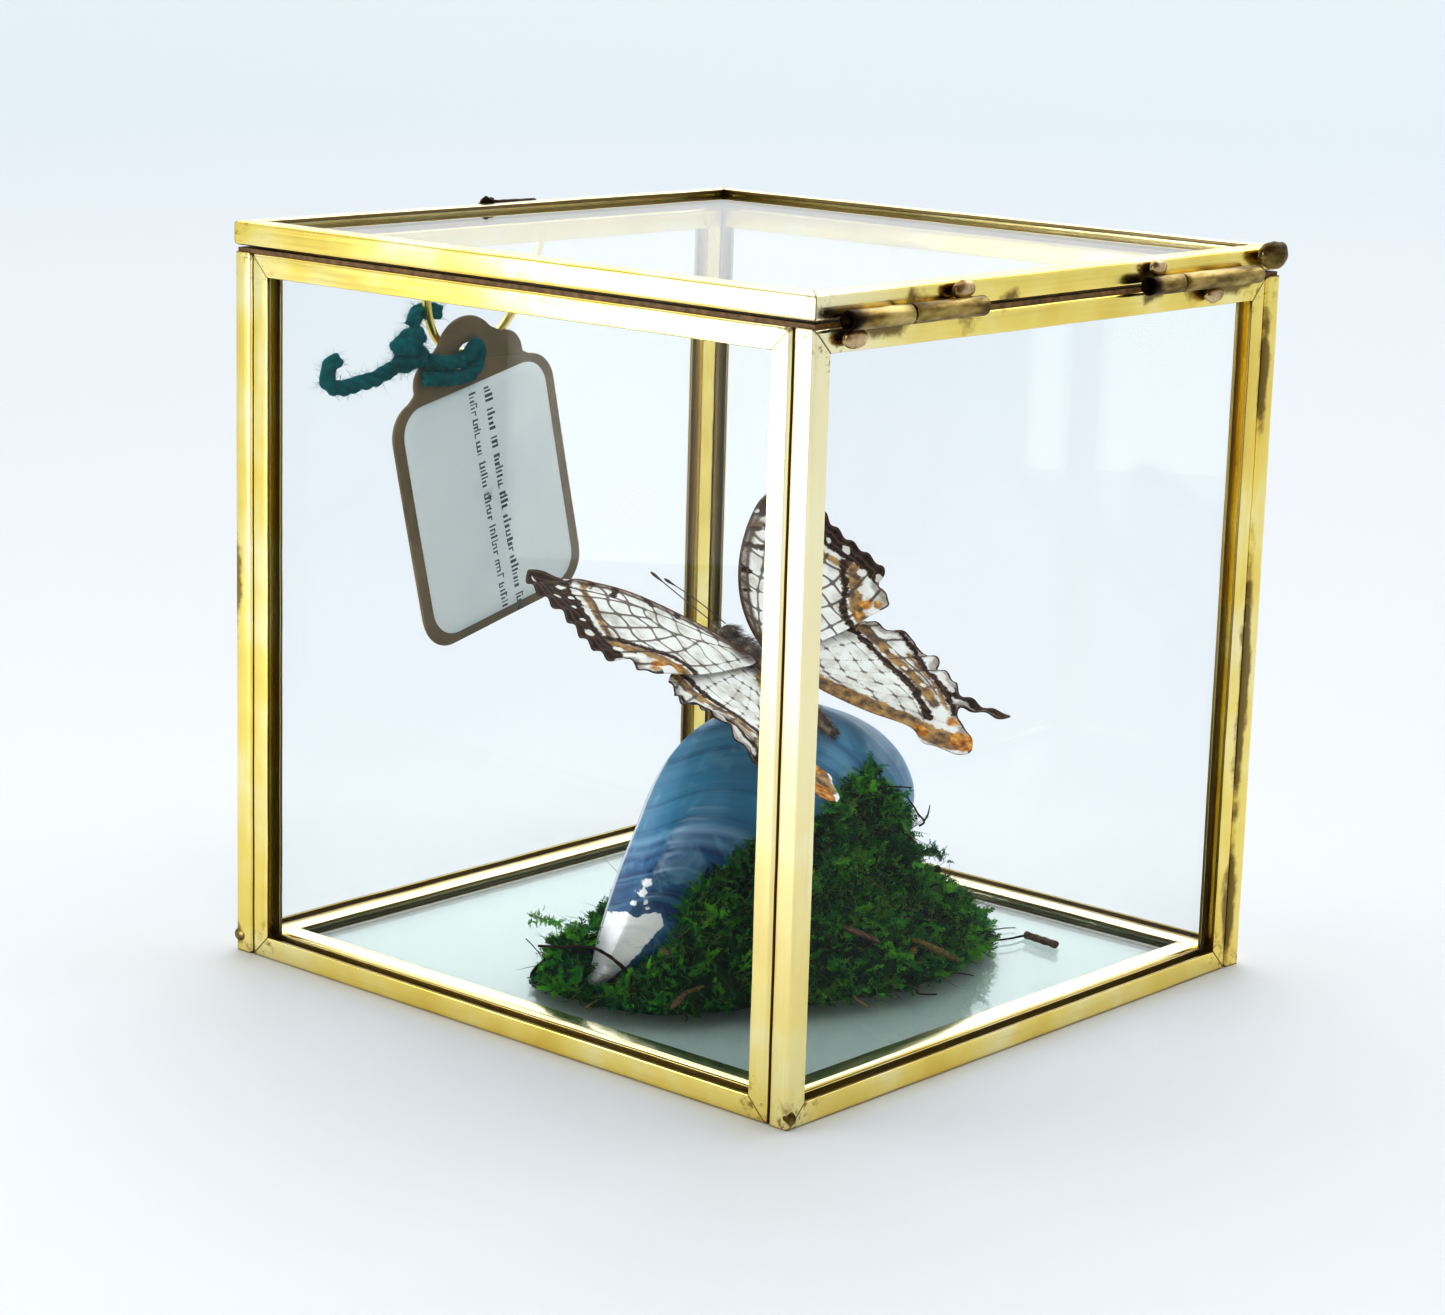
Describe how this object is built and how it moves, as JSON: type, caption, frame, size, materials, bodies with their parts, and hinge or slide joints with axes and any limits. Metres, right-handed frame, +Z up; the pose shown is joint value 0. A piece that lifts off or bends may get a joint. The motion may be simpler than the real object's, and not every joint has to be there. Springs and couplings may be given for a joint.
{
  "type": "mounted butterfly in a hinged glass box",
  "caption": "Butterfly with open wings on a mussel valve and a heap of moss, in a hinged brass and glass box with a wire bail and a tag tied on with yarn.",
  "frame": {"origin": "middle of the footprint of the whole object, on the table", "axes": "+X towards the hinge side, +Y towards the back pane, +Z up"},
  "size_m": [0.1094, 0.0966, 0.1011],
  "materials": {
    "brass": "satin, pale yellow, a little worn",
    "tarnished_brass": "dark tarnish",
    "solder": "dull solder lump",
    "glass": "clear",
    "kraft_paper": "matte",
    "white_paper": "matte",
    "teal_yarn": "soft wool",
    "shell": "half gloss with growth ridges",
    "moss": "dry and fluffy",
    "bark": "rough",
    "wing": "scaly, with a dark net",
    "insect_body": "hairy"
  },
  "bodies": {
    "box": {"front_bottom_bar": "brass", "front_right_post": "brass", "front_top_bar": "brass", "front_left_post": "brass", "front_pane": "glass", "hinge_side_bottom_bar": "brass", "hinge_side_right_post": "brass", "hinge_side_top_bar": "brass", "hinge_side_left_post": "brass", "hinge_side_pane": "glass", "back_bottom_bar": "brass", "back_right_post": "brass", "back_top_bar": "brass", "back_left_post": "brass", "back_pane": "glass", "tag_side_bottom_bar": "brass", "tag_side_right_post": "brass", "tag_side_top_bar": "brass", "tag_side_left_post": "brass", "tag_side_pane": "glass", "base_front_bar": "brass", "base_hinge_side_bar": "brass", "base_back_bar": "brass", "base_tag_side_bar": "brass", "base_pane": "glass", "front_hinge_box_knuckle": "tarnished_brass", "front_hinge_pin": "tarnished_brass", "rear_hinge_box_knuckle": "tarnished_brass", "rear_hinge_pin": "tarnished_brass", "bail": "brass", "tag": "kraft_paper", "tag_label": "white_paper", "yarn_knot": "teal_yarn", "yarn_tail": "teal_yarn", "yarn_tag_loop": "teal_yarn", "yarn_bail_loop": "teal_yarn", "mussel_shell": "shell", "moss": "moss", "moss_stick": "bark", "butterfly_body": "insect_body", "left_forewing": "wing", "right_forewing": "wing", "left_hindwing": "wing", "right_hindwing": "wing", "left_antenna": "insect_body", "right_antenna": "insect_body"},
    "lid": {"lid_front_bar": "brass", "lid_hinge_side_bar": "brass", "lid_back_bar": "brass", "lid_tag_side_bar": "brass", "lid_pane": "glass", "front_hinge_lid_knuckle": "tarnished_brass", "rear_hinge_lid_knuckle": "tarnished_brass", "lid_catch": "tarnished_brass", "lid_corner_solder": "solder"}
  },
  "joints": [
    {"name": "lid_hinge", "type": "hinge", "parent": "box", "child": "lid", "pos_m": [0.05325, 0, 0.0969], "axis": [0, 1, 0], "range_deg": [0, 105]}
  ]
}
